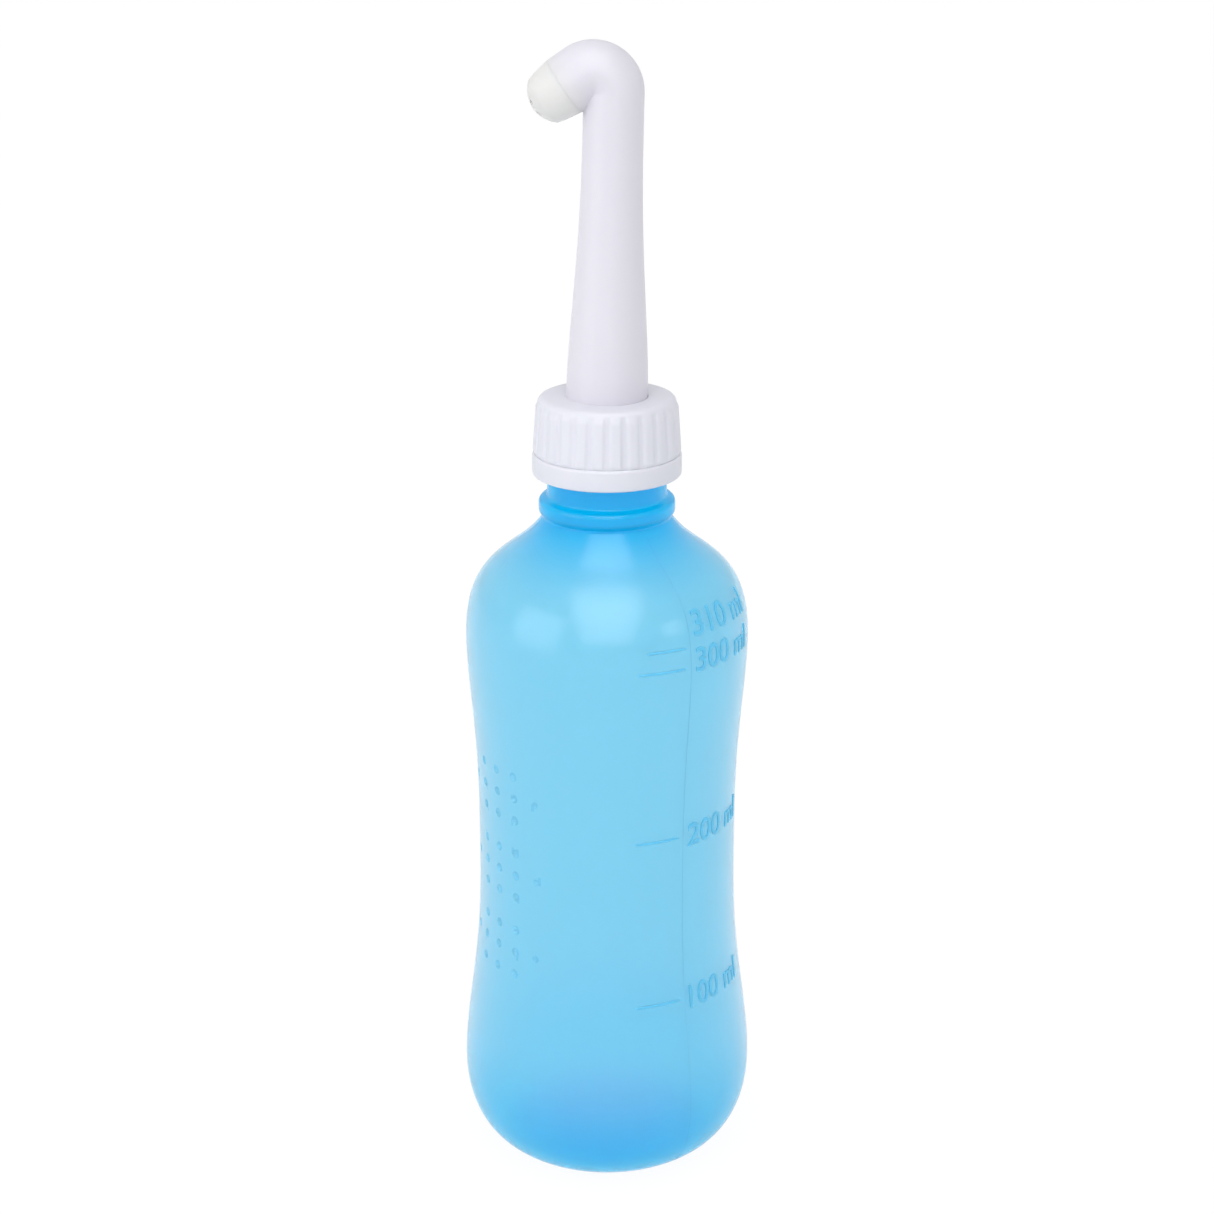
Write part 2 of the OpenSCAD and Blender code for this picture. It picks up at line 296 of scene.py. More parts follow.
def frosted_polyethylene():
    """Milky blue plastic, deeper at the neck and in the base, with painted shade where "deep" is above 0.
    """
    material, tree, output = new_material("frosted_ldpe_blue")
    coords = add_node(tree, "ShaderNodeTexCoord")
    split = add_node(tree, "ShaderNodeSeparateXYZ", inputs={"Vector": coords.outputs["Object"]})
    height = split.outputs["Z"]
    neck = ramp(tree, height, 134 * MM, 149 * MM)
    collar = ramp(tree, height, 143 * MM, 149 * MM)
    base = ramp(tree, height, 34 * MM, 2 * MM)
    dimples = add_node(tree, "ShaderNodeAttribute", {"attribute_name": "deep"})
    tint = mixed(tree, base, colour(BODY_BLUE), colour(BASE_BLUE))
    flat = add_node(tree, "ShaderNodeVectorMath", {"operation": "MULTIPLY"},
                    {0: coords.outputs["Object"], 1: (1.0, 1.0, 2.5)})
    middle = add_node(tree, "ShaderNodeVectorMath", {"operation": "LENGTH"}, {0: flat.outputs["Vector"]})
    bottom = ramp(tree, middle.outputs["Value"], 27 * MM, 14 * MM)
    tint = mixed(tree, bottom, tint, colour(BOTTOM_BLUE))
    tint = mixed(tree, neck, tint, colour(NECK_BLUE))
    # Painted shade: faces where "deep" is above 0, inside the dimples, turn a deeper blue.
    tint = mixed(tree, dimples.outputs["Fac"], tint, colour(DIMPLE_SHADE_BLUE))
    grain = add_node(tree, "ShaderNodeTexNoise", inputs={
        "Vector": coords.outputs["Object"], "Scale": 1 / (SKIN_GRAIN_MM * MM), "Detail": 3.0})
    bump = add_node(tree, "ShaderNodeBump", inputs={
        "Strength": 0.12, "Distance": 0.05 * MM, "Height": grain.outputs["Fac"]})
    # Painted glow: emission in the tint, faint on the body and stronger at the neck, where the cap shades
    # it.
    painted_glow = add_node(tree, "ShaderNodeMapRange", inputs={
        "Value": neck, "To Min": 0.045, "To Max": 0.11})
    thick = add_node(tree, "ShaderNodeMath", {"operation": "MAXIMUM"}, {0: collar, 1: base})
    gloss = add_node(tree, "ShaderNodeMapRange", inputs={
        "Value": thick.outputs["Value"], "To Min": 0.75, "To Max": 0.15})
    bloom = add_node(tree, "ShaderNodeMapRange", inputs={
        "Value": thick.outputs["Value"], "To Min": 0.1, "To Max": 0.0})
    glow = add_node(tree, "ShaderNodeBsdfTranslucent", inputs={
        "Color": tint, "Normal": bump.outputs["Normal"]})
    skin = add_node(tree, "ShaderNodeBsdfPrincipled", inputs={
        "Base Color": tint, "Roughness": 0.17, "IOR": 1.5, "Transmission Weight": CLEAR_SHARE,
        "Coat Weight": gloss.outputs["Result"], "Coat Roughness": 0.26, "Coat IOR": 1.5,
        "Sheen Weight": bloom.outputs["Result"], "Sheen Roughness": 0.4, "Sheen Tint": colour(SHEEN_TINT),
        "Emission Color": tint, "Emission Strength": painted_glow.outputs["Result"],
        "Normal": bump.outputs["Normal"]})
    blend = add_node(tree, "ShaderNodeMixShader", inputs={
        0: TRANSLUCENT_SHARE, 1: skin.outputs["BSDF"], 2: glow.outputs["BSDF"]})
    tree.links.new(blend.outputs["Shader"], output.inputs["Surface"])
    return material


bottle_plastic = frosted_polyethylene()

# %% [markdown]
# ## Moulded polypropylene
# The cap and the nozzle are injection-moulded polypropylene, white with a faint lavender cast
# from the brightener in it. Its surface is satin. A little subsurface scattering softens the
# shadows in the ribs, as light creeps through white plastic. The tip is a softer, more neutral
# polyethylene, and the nozzle's tint runs into it along the spout. The raised marks and the
# washer come from the same function: a clearer blue for the marks, matt silicone for the washer.

# %% White plastics
GRAIN_MM = 0.6
STREAK_MM = 1.1
STREAK_TINT = "#C9C6D8"
NOZZLE_TINT = "#DBD9E2"
TIP_TINT = "#DDDDDC"


def moulded_plastic(name, tint, roughness, scatter, streak=0.0, root_tint=None):
    """Satin plastic with a fine grain, and faint flow streaks along Z if streak is above 0.

    With a root_tint, the attribute "along" blends from that tint to the plastic's own.
    """
    material, tree, output = new_material(name)
    coords = add_node(tree, "ShaderNodeTexCoord")
    grain = add_node(tree, "ShaderNodeTexNoise", inputs={
        "Vector": coords.outputs["Object"], "Scale": 1 / (GRAIN_MM * MM), "Detail": 2.0})
    sheen = add_node(tree, "ShaderNodeMapRange", inputs={
        "Value": grain.outputs["Fac"], "To Min": roughness - 0.05, "To Max": roughness + 0.05})
    bump = add_node(tree, "ShaderNodeBump", inputs={
        "Strength": 0.06, "Distance": 0.03 * MM, "Height": grain.outputs["Fac"]})
    long_grain = add_node(tree, "ShaderNodeMapping", inputs={
        "Vector": coords.outputs["Object"], "Scale": (1.0, 1.0, 0.03)})
    flow = add_node(tree, "ShaderNodeTexNoise", inputs={
        "Vector": long_grain.outputs["Vector"], "Scale": 1 / (STREAK_MM * MM), "Detail": 2.0})
    share = add_node(tree, "ShaderNodeMath", {"operation": "MULTIPLY"},
                     {0: flow.outputs["Fac"], 1: streak})
    shown = mixed(tree, share.outputs["Value"], colour(tint), colour(STREAK_TINT))
    if root_tint:
        along = add_node(tree, "ShaderNodeAttribute", {"attribute_name": "along"})
        shown = mixed(tree, along.outputs["Fac"], colour(root_tint), shown)
    shader = add_node(tree, "ShaderNodeBsdfPrincipled", inputs={
        "Base Color": shown, "Roughness": sheen.outputs["Result"], "IOR": 1.49,
        "Subsurface Weight": scatter, "Subsurface Radius": (1.0, 0.9, 0.9),
        "Subsurface Scale": 1.2 * MM, "Normal": bump.outputs["Normal"]})
    tree.links.new(shader.outputs["BSDF"], output.inputs["Surface"])
    return material


cap_plastic = moulded_plastic("satin_polypropylene_cap", "#DCDDE6", 0.42, 0.3)
nozzle_plastic = moulded_plastic("satin_polypropylene_nozzle", TIP_TINT, 0.34, 0.3, 0.25, NOZZLE_TINT)
tip_plastic = moulded_plastic("soft_polyethylene_tip", TIP_TINT, 0.45, 0.4, 0.0, NOZZLE_TINT)
silicone = moulded_plastic("matt_silicone", "#E8E8E4", 0.7, 0.2)
mark_plastic = moulded_plastic("satin_ldpe_marks", "#60C1EC", 0.45, 0.4)

# %% [markdown]
# ## The bottle
# The body is a turned shape. Two S-shaped flanks meet at the waist, each level at both ends.
# The formula of a flank stays slim for longer than an even S, as the real waist does. The
# outline runs up the outside, over the land of the neck and down the inside, so the wall is
# real.


# %% Bottle shell
def flank(t, pull=3.25):
    """Falls from 1 to 0, level at both ends and slim for longer."""
    return (1 - t) ** pull * (1 + pull * t)


def flank_points(wide, waist, steps=28):
    """Points from a wide place (r, z) to the waist (r, z), without its ends."""
    points = []
    for i in range(1, steps):
        t = i / steps
        points.append((waist[0] + (wide[0] - waist[0]) * flank(t), wide[1] + (waist[1] - wide[1]) * t))
    return points


def body_outline():
    """The outside of the body from the standing ring to the neck's root."""
    foot = (FOOT_R, FOOT_Z)
    waist = (WAIST_R, WAIST_Z)
    shoulder = (SHOULDER_R, SHOULDER_Z)
    dome = BODY_TOP - SHOULDER_Z
    base = curve((STANDING_R, 0), (STANDING_R + 0.75 * (FOOT_R - STANDING_R), 0),
                 (FOOT_R, FOOT_Z * 0.5), foot)
    top = curve(shoulder, (SHOULDER_R, SHOULDER_Z + dome * 0.7),
                (NECK_ROOT_R + dome * 0.25, BODY_TOP - dome * 0.37), (NECK_ROOT_R, BODY_TOP), 30)
    return base + flank_points(foot, waist) + [waist] + flank_points(shoulder, waist)[::-1] + top


def moved_in(outline, distance):
    """The outline moved to its left by a distance."""
    points = []
    for i, (r, z) in enumerate(outline):
        before = outline[max(i - 1, 0)]
        after = outline[min(i + 1, len(outline) - 1)]
        dr, dz = after[0] - before[0], after[1] - before[1]
        length = math.hypot(dr, dz)
        points.append((r - dz / length * distance, z + dr / length * distance))
    return points


def bottle_outline():
    """The wall's outline: under the base, up the outside, over the land and down the inside."""
    ring_in = STANDING_R - 2.5
    push_r = (ring_in ** 2 + PUSH_UP ** 2) / (2 * PUSH_UP)
    half = math.degrees(math.asin(ring_in / push_r))
    push = arc((0, PUSH_UP - push_r), push_r, 90, 90 - half, 10)
    body = body_outline()
    neck = rounded([
        (NECK_ROOT_R, BODY_TOP + 0.2, 0.2), (13.65, BODY_TOP + 0.8, 0.4),
        (14.45, BODY_TOP + 1.3, 0.7), (14.45, BODY_TOP + 4.2, 0.9),
        (NECK_R, BODY_TOP + 4.8, 0.5), (NECK_R, LAND_Z, 0.3),
        (NECK_BORE_R, LAND_Z, 0.3), (NECK_BORE_R, BODY_TOP + 1.6, 0.8)])
    inside = moved_in(body, WALL)[::-1]
    floor = [(r, z + WALL) for r, z in push[::-1]]
    return push + body + neck + inside + floor


BOTTLE_COLUMNS = 240
bottle_shell = add_piece("bottle_shell", *turned(bottle_outline(), BOTTLE_COLUMNS), bottle_plastic, 50)

# %% [markdown]
# ## Where the surface is
# Marks, dots and seams sit on the outside of the body, so they need its radius at a height
# and the slope there. Both come from the same outline.


# %% Surface lookup
OUTSIDE = body_outline()


def surface(z):
    """The body's radius at a height, and how far its surface leans back there."""
    for (r0, z0), (r1, z1) in zip(OUTSIDE, OUTSIDE[1:]):
        if z0 <= z <= z1:
            t = (z - z0) / (z1 - z0)
            return r0 + (r1 - r0) * t, math.atan2(r0 - r1, z1 - z0)
    raise ValueError("no surface at %.1f mm" % z)


def on_surface(turn, z, rise=0.0):
    """A point over the body. turn is in degrees from the front, towards +X."""
    r, lean = surface(z)
    a = math.radians(turn)
    out = r + rise * math.cos(lean)
    return (out * math.sin(a), -out * math.cos(a), z + rise * math.sin(lean))


# %% [markdown]
# ## Grip dots
# Small dimples on both sides of the waist keep wet fingers from slipping, in three groups of
# eleven. They all share one shape, so Geometry Nodes make them: a point for each dot carries
# its outward direction, Instance on Points sets a ball there that dips a little way into the
# wall, and Mesh Boolean cuts the balls out of the shell. The faces that a ball has cut lie at
# its radius from a dot's point: they get the attribute "deep", which the material reads as
# painted shade to darken the dimples.

# %% Grip dots
DOT_D = 2.0
DOT_DEPTH = 0.5
SHALLOW_LIFT = 0.25
DOT_TURN = 11.5
DOT_ROW = 5.1
GROUP_Z = [90.6, 72.6, 54.6]
LEFT_MIDDLE = -55.5
DOT_SHADE = 0.3


def dot_places():
    """Turn and height of each dot: rows of 3, 5 and 3 columns in each group."""
    places = []
    for side in (LEFT_MIDDLE, LEFT_MIDDLE + 180):
        for middle in GROUP_Z:
            for row, reach in ((1, 1), (0, 2), (-1, 1)):
                for column in range(-reach, reach + 1):
                    places.append((side + column * DOT_TURN, middle + row * DOT_ROW))
    return places


def dot_lift(i):
    """How far out a dot's ball moves, for the shallow dots nearest the parting line."""
    turn = (dot_places()[i][0] - LEFT_MIDDLE) % 180
    return SHALLOW_LIFT if 1.5 * DOT_TURN < turn < 90 else 0.0


def dimple_tree(shell):
    """Geometry Nodes that cut one dimple at every point out of the shell."""
    tree = bpy.data.node_groups.new("grip_dot_nodes", "GeometryNodeTree")
    face = tree.interface
    face.new_socket("Geometry", in_out="INPUT", socket_type="NodeSocketGeometry")
    face.new_socket("Shell", in_out="INPUT", socket_type="NodeSocketObject")
    face.new_socket("Ball Radius", in_out="INPUT", socket_type="NodeSocketFloat")
    face.new_socket("Geometry", in_out="OUTPUT", socket_type="NodeSocketGeometry")
    ins = add_node(tree, "NodeGroupInput")
    ball = add_node(tree, "GeometryNodeMeshUVSphere", inputs={
        "Segments": 32, "Rings": 20, "Radius": ins.outputs["Ball Radius"]})
    out = add_node(tree, "GeometryNodeInputNamedAttribute", {"data_type": "FLOAT_VECTOR"},
                   {"Name": "outward"})
    aim = add_node(tree, "FunctionNodeAlignRotationToVector", {"axis": "Z"},
                   {"Vector": out.outputs["Attribute"]})
    spread = add_node(tree, "GeometryNodeInstanceOnPoints", inputs={
        "Points": ins.outputs["Geometry"], "Instance": ball.outputs["Mesh"],
        "Rotation": aim.outputs["Rotation"]})
    real = add_node(tree, "GeometryNodeRealizeInstances", inputs={
        "Geometry": spread.outputs["Instances"]})
    body = add_node(tree, "GeometryNodeObjectInfo", inputs={"Object": ins.outputs["Shell"]})
    cut = add_node(tree, "GeometryNodeMeshBoolean", {"operation": "DIFFERENCE", "solver": "EXACT"}, {
        "Mesh 1": body.outputs["Geometry"], "Mesh 2": real.outputs["Geometry"]})
    # Painted shade: the faces that a ball has cut store "deep", which darkens the dimples in the
    # material.
    near = add_node(tree, "GeometryNodeProximity", {"target_element": "POINTS"},
                    {"Geometry": ins.outputs["Geometry"]})
    level = add_node(tree, "ShaderNodeMath", {"operation": "DIVIDE"},
                     {0: near.outputs["Distance"], 1: ins.outputs["Ball Radius"]})
    inside = add_node(tree, "ShaderNodeMath", {"operation": "COMPARE"},
                      {0: level.outputs["Value"], 1: 0.993, 2: 0.01})
    shade = add_node(tree, "ShaderNodeMath", {"operation": "MULTIPLY"},
                     {0: inside.outputs["Value"], 1: DOT_SHADE})
    store = add_node(tree, "GeometryNodeStoreNamedAttribute", {"data_type": "FLOAT", "domain": "FACE"}, {
        "Geometry": cut.outputs["Mesh"], "Name": "deep", "Value": shade.outputs["Value"]})
    paint = add_node(tree, "GeometryNodeSetMaterial", inputs={
        "Geometry": store.outputs["Geometry"], "Material": bottle_plastic})
    add_node(tree, "NodeGroupOutput", inputs={"Geometry": paint.outputs["Geometry"]})
    return tree


def set_inputs(modifier, values):
    """Sets a Geometry Nodes modifier's inputs, given by their names."""
    for item in modifier.node_group.interface.items_tree:
        if item.item_type == "SOCKET" and item.in_out == "INPUT" and item.name in values:
            modifier[item.identifier] = values[item.name]


def cut_dimples(shell):
    """Replaces the shell's mesh by one with the dimples cut."""
    ball_r = ((DOT_D / 2) ** 2 + DOT_DEPTH ** 2) / (2 * DOT_DEPTH)
    places = dot_places()
    mesh = bpy.data.meshes.new("dot_points")
    mesh.from_pydata([Vector(on_surface(*place, ball_r - DOT_DEPTH + dot_lift(i))) * MM
                      for i, place in enumerate(places)], [], [])
    outward = mesh.attributes.new("outward", "FLOAT_VECTOR", "POINT")
    for i, place in enumerate(places):
        outward.data[i].vector = Vector(on_surface(*place, 1.0)) - Vector(on_surface(*place))
    points = bpy.data.objects.new("dot_points", mesh)
    bpy.context.scene.collection.objects.link(points)
    modifier = points.modifiers.new("dots", "NODES")
    modifier.node_group = dimple_tree(shell)
    set_inputs(modifier, {"Shell": shell, "Ball Radius": ball_r * MM})
    mesh_from_nodes(points)
    shell.data = points.data
    shell.data.name = shell.name
    bpy.data.objects.remove(points)
    shell.data.shade_smooth()
    shell.data.set_sharp_from_angle(angle=math.radians(40))


cut_dimples(bottle_shell)
print("%d dimples, %d faces" % (len(dot_places()), len(bottle_shell.data.polygons)))
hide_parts("bottle_body")
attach(bottle_shell, "bottle")

# %% [markdown]
# ## Volume scale
# A raised line and a plain number mark each volume. A line is a low bar that follows the
# surface: a small section is placed again and again round the body. The marks have their own
# plastic, because a clear wall would hide shapes as low as these.

# %% Scale lines
MARKS = {"310": 126.3, "300": 121.9, "200": 83.1, "100": 45.3}
LINE_START = {"310": 16.0}
LINE_END = 32.5
LINE_W = 0.55
LINE_RISE = 0.25


def bar_on_surface(start, end, z, width, rise, steps=20):
    """Points and faces of a low rounded bar round the body, level at height z."""
    section = [(-0.5, -0.3), (-0.4, 0.6), (-0.15, 1.0), (0.15, 1.0), (0.4, 0.6), (0.5, -0.3)]
    verts = []
    for i in range(steps + 1):
        ends = min(1.0, 6 * min(i, steps - i) / steps)
        turn = start + (end - start) * i / steps
        for across, up in section:
            verts.append(on_surface(turn, z + across * width, (up if up < 0 else up * ends) * rise))
    count = len(section)
    faces = [tuple(range(count)), tuple(range(steps * count, (steps + 1) * count))]
    for i in range(steps):
        for k in range(count):
            m = (k + 1) % count
            faces.append((i * count + k, i * count + m, (i + 1) * count + m, (i + 1) * count + k))
    return verts, faces


def joined(parts):
    """One list of points and faces from several."""
    verts, faces = [], []
    for more_verts, more_faces in parts:
        start = len(verts)
        verts += more_verts
        faces += [tuple(start + i for i in face) for face in more_faces]
    return verts, faces


lines = add_piece("scale_lines", *joined([
    bar_on_surface(LINE_START.get(mark, 12.0), LINE_END, z, LINE_W, LINE_RISE)
    for mark, z in MARKS.items()]), mark_plastic)
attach(lines, "bottle")

# %% [markdown]
# ## Numbers
# A number starts as a Blender text object and becomes a mesh. Level cuts give its long strokes
# points to bend at, or they would dive under the round shoulder. Then it is wrapped round the
# body: its width turns to an angle, and its depth to a height over the surface.

# %% Scale numbers
NUMBER_H = 5.2
NUMBER_TURN = 37.5
NUMBER_RISE = 0.18
NUMBER_ROOT = 0.6
FIRST_NUMBER_Z = {"310": 130.9, "300": 123.3}


def slices(mesh, low, high, cuts=12):
    """Cuts a flat word into level slices, so long strokes can follow a curved surface."""
    shape = bmesh.new()
    shape.from_mesh(mesh)
    bmesh.ops.remove_doubles(shape, verts=shape.verts, dist=1e-5)
    for i in range(1, cuts):
        height = low.y + (high.y - low.y) * i / cuts
        bmesh.ops.bisect_plane(shape, geom=shape.verts[:] + shape.edges[:] + shape.faces[:],
                               plane_co=(0, height, 0), plane_no=(0, 1, 0))
    shape.to_mesh(mesh)
    shape.free()


def number_mesh(words):
    """A raised word as a mesh in millimetres, its lower left corner at the origin."""
    text = bpy.data.curves.new("number", "FONT")
    text.body = words
    text.extrude = 0.5
    text.offset = 0.008
    text.resolution_u = 6
    holder = bpy.data.objects.new("number", text)
    bpy.context.scene.collection.objects.link(holder)
    mesh = bpy.data.meshes.new_from_object(holder)
    bpy.data.objects.remove(holder)
    bpy.data.curves.remove(text)
    low = Vector([min(v.co[k] for v in mesh.vertices) for k in range(3)])
    high = Vector([max(v.co[k] for v in mesh.vertices) for k in range(3)])
    slices(mesh, low, high)
    points = [v.co.copy() for v in mesh.vertices]
    faces = [tuple(p.vertices) for p in mesh.polygons]
    bpy.data.meshes.remove(mesh)
    scale = NUMBER_H / (high.y - low.y)
    deep = high.z - low.z
    flat = [((p.x - low.x) * scale, (p.y - low.y) * scale, (p.z - low.z) / deep) for p in points]
    return flat, faces


def wrapped(words, start_turn, z):
    """The word wrapped round the body, its middle at height z."""
    flat, faces = number_mesh(words)
    r, _ = surface(z)
    verts = []
    for x, y, deep in flat:
        turn = start_turn + math.degrees(x / r)
        height = z + y - NUMBER_H / 2
        verts.append(on_surface(turn, height, (deep * (1 + NUMBER_ROOT) - NUMBER_ROOT) * NUMBER_RISE))
    return verts, faces


numbers = add_piece("scale_numbers", *joined([
    wrapped(mark + " ml", NUMBER_TURN, FIRST_NUMBER_Z.get(mark, z)) for mark, z in MARKS.items()]),
    mark_plastic)
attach(numbers, "bottle")

# %% [markdown]
# ## Parting lines
# A blow mould has two halves. Where they meet, a hairline of plastic stands up along the
# body, once on each side. It is a thin ridge that follows the outline from the base to the
# neck.

# %% Parting lines
SEAM_TURN = 35.0
SEAM_W = 0.3
SEAM_RISE = 0.07


def seam(turn):
    """Points and faces of a fine ridge up the body at a turn."""
    heights = [z for r, z in OUTSIDE if 3 < z < BODY_TOP - 0.5]
    verts = []
    for z in heights:
        r, _ = surface(z)
        half = math.degrees(SEAM_W / 2 / r)
        verts += [on_surface(turn - half, z, -0.05), on_surface(turn, z, SEAM_RISE),
                  on_surface(turn + half, z, -0.05)]
    last = 3 * (len(heights) - 1)
    faces = [(0, 1, 2), (last, last + 1, last + 2)]
    for i in range(0, last, 3):
        for k in range(3):
            m = (k + 1) % 3
            faces.append((i + k, i + m, i + 3 + m, i + 3 + k))
    return verts, faces


seams = add_piece("parting_lines", *joined([seam(SEAM_TURN), seam(SEAM_TURN + 180)]), bottle_plastic, 80)
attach(seams, "bottle")

# %% [markdown]
# ## Threads
# The cap screws onto the neck by a coarse right-hand ridge of one and a half turns. The same
# function makes the neck's ridge and the cap's: a small rounded section that climbs by the
# pitch in each turn and fades out at both ends.

# %% Threads
PITCH = 4.23
THREAD_TURNS = 1.5
THREAD_DEPTH = 0.8
ROOT_W = 1.9
CREST_W = 0.9
STEPS_PER_TURN = 72
RUNNING_GAP = 0.3
CAP_THREAD_Z = CAP_LOW + 0.9 + ROOT_W / 2
NECK_THREAD_Z = CAP_THREAD_Z + (ROOT_W + CREST_W) / 2 + RUNNING_GAP
CAP_BORE_R = NECK_R + THREAD_DEPTH + RUNNING_GAP


def ridge(wall_r, low_z, side):
    """A helical ridge that stands out of a wall (side 1) or into a bore (side -1)."""
    steps = int(STEPS_PER_TURN * THREAD_TURNS)
    verts = []
    for i in range(steps + 1):
        a = 2 * math.pi * i / STEPS_PER_TURN
        z = low_z + PITCH * i / STEPS_PER_TURN
        fade = math.sin(math.pi / 2 * min(1.0, min(i, steps - i) / 9))
        root = wall_r - side * 0.15
        crest = wall_r + side * (THREAD_DEPTH * fade - 0.02)
        shoulder = wall_r + side * (0.75 * THREAD_DEPTH * fade - 0.02)
        for r, dz in ((root, -ROOT_W / 2), (shoulder, -CREST_W * 0.62), (crest, -CREST_W * 0.3),
                      (crest, CREST_W * 0.3), (shoulder, CREST_W * 0.62), (root, ROOT_W / 2)):
            verts.append((r * math.cos(a), r * math.sin(a), z + dz))
    faces = [tuple(range(6)), tuple(range(6 * steps, 6 * steps + 6))]
    for i in range(steps):
        for k in range(6):
            m = (k + 1) % 6
            faces.append((i * 6 + k, i * 6 + m, i * 6 + 6 + m, i * 6 + 6 + k))
    return verts, faces


neck_thread = add_piece("neck_thread", *ridge(NECK_R, NECK_THREAD_Z, 1), bottle_plastic, 60)
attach(neck_thread, "bottle")
cap_thread = add_piece("cap_thread", *ridge(CAP_BORE_R, CAP_THREAD_Z, -1), cap_plastic, 60)
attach(cap_thread, "cap")

# %% [markdown]
# ## The screw cap
# The cap is a turned shell with a smooth band at its foot. Its grip ribs follow one rule: the
# skirt's radius swells and shrinks as you go round. The swelling starts softly over the band
# and fades out at the rounded shoulder. A Geometry Nodes tree says that in numbers: it finds
# each point's angle, makes a rib wave from it, and pushes the point outwards.

# %% Cap shell
SKIRT_TOP_R = CAP_BORE_R + 0.8
SKIRT_LOW_R = SKIRT_TOP_R + 0.7
BAND_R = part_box("screw_cap")[1][0] / MM
BAND_TOP = CAP_LOW + 4.3
STEM_FOOT_R = 8.5
SEAT_BORE_R = NECK_R + 0.2
HOLE_EDGE_R = STEM_FOOT_R + 0.1
RIBS = 26
RIB_DEPTH = 0.38
RIB_START = 1.1
RIB_FADE = 1.8
COLUMNS_PER_RIB = 16
SKIRT_ROWS = 24


def cap_outline():
    """The cap's wall: up the band and the skirt, over the roof and down the bore."""
    skirt_low = BAND_TOP + 0.4
    skirt_top = CAP_TOP - 1.7
    skirt = [(SKIRT_LOW_R + (SKIRT_TOP_R - SKIRT_LOW_R) * i / SKIRT_ROWS,
              skirt_low + (skirt_top - skirt_low) * i / SKIRT_ROWS) for i in range(1, SKIRT_ROWS)]
    outside = rounded([
        (CAP_BORE_R + 0.45, CAP_LOW, 0.2), (BAND_R, CAP_LOW, 0.6), (BAND_R, BAND_TOP - 0.1, 0.3),
        (SKIRT_LOW_R, BAND_TOP + 0.45, 0.35)])
    top = rounded([
        (SKIRT_TOP_R, CAP_TOP, 1.5), (HOLE_EDGE_R, CAP_TOP, 0.12),
        (HOLE_EDGE_R, ROOF_Z, 0.1), (SEAT_BORE_R, ROOF_Z, 0.3),
        (SEAT_BORE_R, LAND_Z, 0.2), (CAP_BORE_R, LAND_Z - 0.6, 0.2),
        (CAP_BORE_R, CAP_LOW + 0.9, 0.2)], 5)
    return outside + skirt + top


def rib_tree():
    """Geometry Nodes that push a turned skirt out into ribs."""
    tree = bpy.data.node_groups.new("cap_rib_nodes", "GeometryNodeTree")
    face = tree.interface
    face.new_socket("Geometry", in_out="INPUT", socket_type="NodeSocketGeometry")
    for name in ("Rib Count", "Rib Depth", "Ribs From", "Ribs To", "Bore Radius"):
        face.new_socket(name, in_out="INPUT", socket_type="NodeSocketFloat")
    face.new_socket("Geometry", in_out="OUTPUT", socket_type="NodeSocketGeometry")
    ins = add_node(tree, "NodeGroupInput")
    place = add_node(tree, "GeometryNodeInputPosition")
    xyz = add_node(tree, "ShaderNodeSeparateXYZ", inputs={"Vector": place.outputs["Position"]})

    def maths(operation, first, second=0.0):
        node = add_node(tree, "ShaderNodeMath", {"operation": operation}, {0: first, 1: second})
        return node.outputs["Value"]

    angle = maths("ARCTAN2", xyz.outputs["Y"], xyz.outputs["X"])
    wave = maths("COSINE", maths("MULTIPLY", angle, ins.outputs["Rib Count"]))
    rib = ramp(tree, wave, -0.95, 0.15)
    low, high = ins.outputs["Ribs From"], ins.outputs["Ribs To"]
    rise = ramp(tree, xyz.outputs["Z"], low, maths("ADD", low, RIB_START * MM))
    fade = ramp(tree, xyz.outputs["Z"], high, maths("SUBTRACT", high, RIB_FADE * MM))
    flat = add_node(tree, "ShaderNodeCombineXYZ", inputs={"X": xyz.outputs["X"], "Y": xyz.outputs["Y"]})
    radius = add_node(tree, "ShaderNodeVectorMath", {"operation": "LENGTH"},
                      {0: flat.outputs["Vector"]})
    outside = maths("GREATER_THAN", radius.outputs["Value"], ins.outputs["Bore Radius"])
    push = maths("MULTIPLY", rib, ins.outputs["Rib Depth"])
    push = maths("MULTIPLY", maths("MULTIPLY", push, outside), maths("MULTIPLY", rise, fade))
    way = add_node(tree, "ShaderNodeVectorMath", {"operation": "NORMALIZE"},
                   {0: flat.outputs["Vector"]})
    offset = add_node(tree, "ShaderNodeVectorMath", {"operation": "SCALE"}, {
        0: way.outputs["Vector"], "Scale": push})
    moved = add_node(tree, "GeometryNodeSetPosition", inputs={
        "Geometry": ins.outputs["Geometry"], "Offset": offset.outputs["Vector"]})
    real = add_node(tree, "GeometryNodeRealizeInstances", inputs={"Geometry": moved.outputs["Geometry"]})
    paint = add_node(tree, "GeometryNodeSetMaterial", inputs={
        "Geometry": real.outputs["Geometry"], "Material": cap_plastic})
    add_node(tree, "NodeGroupOutput", inputs={"Geometry": paint.outputs["Geometry"]})
    return tree


cap_shell = add_piece("cap_shell", *turned(cap_outline(), RIBS * COLUMNS_PER_RIB), cap_plastic, 40)
ribs = cap_shell.modifiers.new("ribs", "NODES")
ribs.node_group = rib_tree()
set_inputs(ribs, {
    "Rib Count": RIBS, "Rib Depth": RIB_DEPTH * MM, "Ribs From": BAND_TOP * MM,
    "Ribs To": (CAP_TOP - 0.7) * MM, "Bore Radius": (CAP_BORE_R + 0.3) * MM})
mesh_from_nodes(cap_shell)
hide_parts("screw_cap")
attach(cap_shell, "cap")

# %% [markdown]
# ## The nozzle
# The nozzle is one moulding: a round flange under the cap's roof, a stem that slims down as it
# rises, a tight elbow and a short spout. The elbow's bend is tighter than the stem is thick,
# so its inner corner is nearly a crease. One skin of rings makes all of it: up the outside,
# round the bend, along the spout, over the spigot's end and back down the water way. The
# attribute "along" then tells the material where the stem's tint gives way to the tip's.

